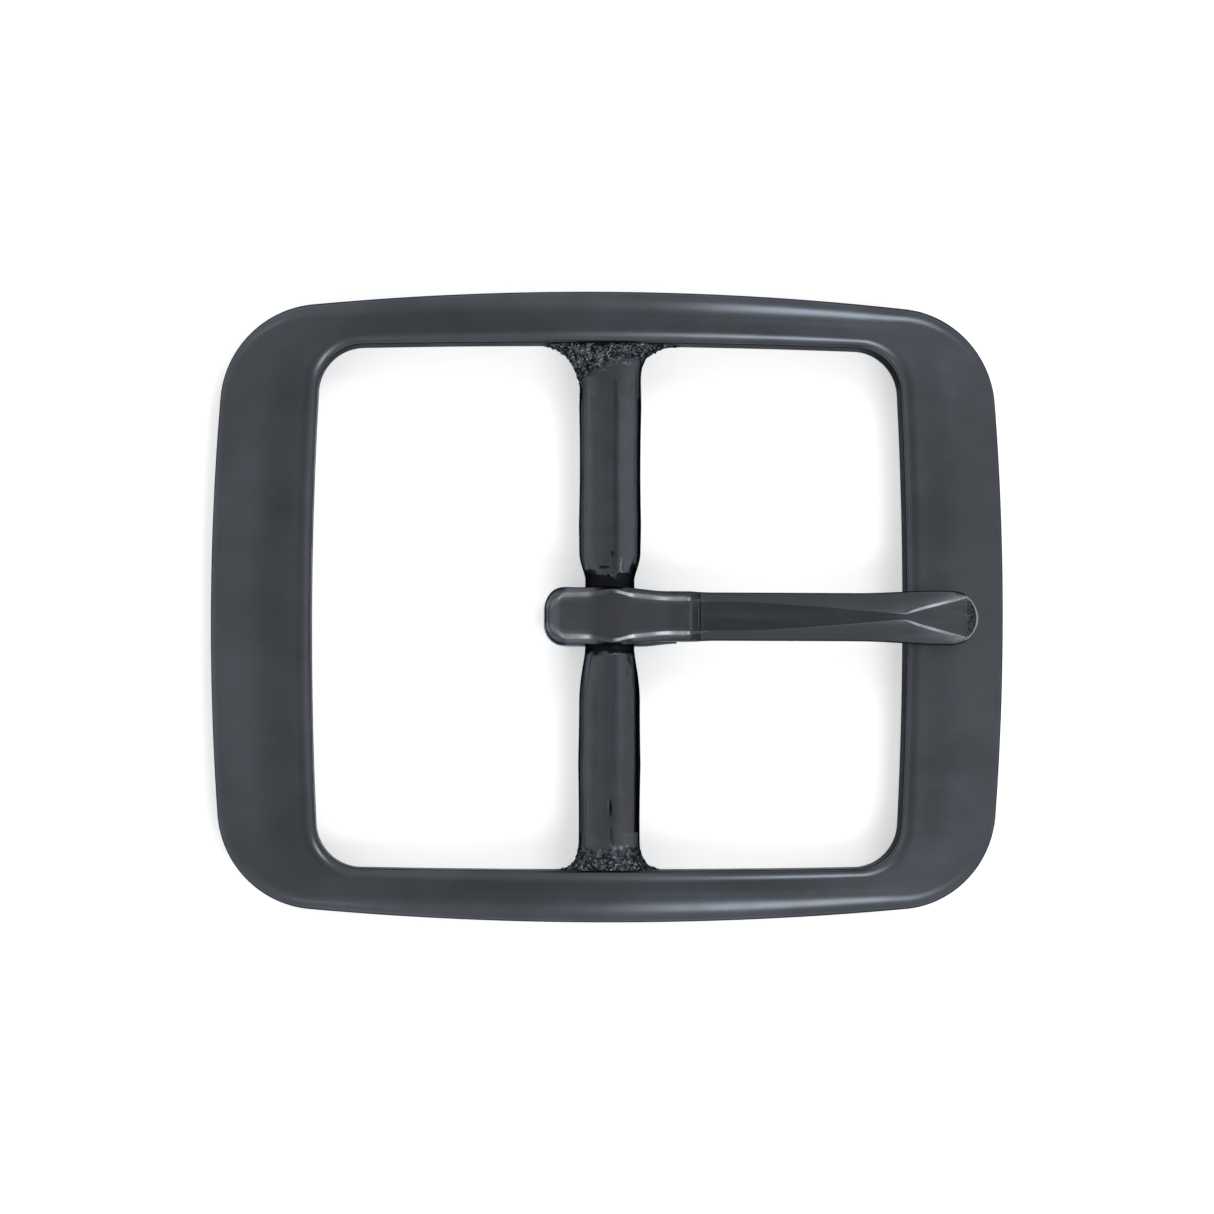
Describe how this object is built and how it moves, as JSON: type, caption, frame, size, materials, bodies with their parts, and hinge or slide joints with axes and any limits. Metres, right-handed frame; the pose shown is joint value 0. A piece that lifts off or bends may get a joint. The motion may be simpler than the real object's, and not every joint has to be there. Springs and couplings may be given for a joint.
{
  "type": "belt buckle",
  "caption": "Centre-bar belt buckle: an arched frame with two windows, a fixed centre bar and a swinging tongue, for a 38 mm strap.",
  "frame": {"origin": "on the ground plane, under the middle of the frame", "axes": "+X along the belt towards the tongue's tip, +Y across the belt, +Z out of the front face"},
  "size_m": [0.06, 0.0472, 0.0066],
  "materials": {
    "frame_plate": "satin black nickel plate",
    "bar_plate": "satin black nickel plate, polished lengthwise",
    "rough_plate": "black nickel plate over a grainy as-cast surface",
    "tongue_plate": "black nickel plate, a little glossier on its bevels"
  },
  "bodies": {
    "buckle": {"frame": "frame_plate", "centre_bar": "bar_plate", "upper_braze": "rough_plate", "lower_braze": "rough_plate"},
    "tongue": {"tongue": "tongue_plate"}
  },
  "joints": [
    {"name": "tongue_swing", "type": "hinge", "parent": "buckle", "child": "tongue", "pos_m": [0, -0.00076, 0.0032], "axis": [0, -1, 0], "range_deg": [0, 170]}
  ]
}
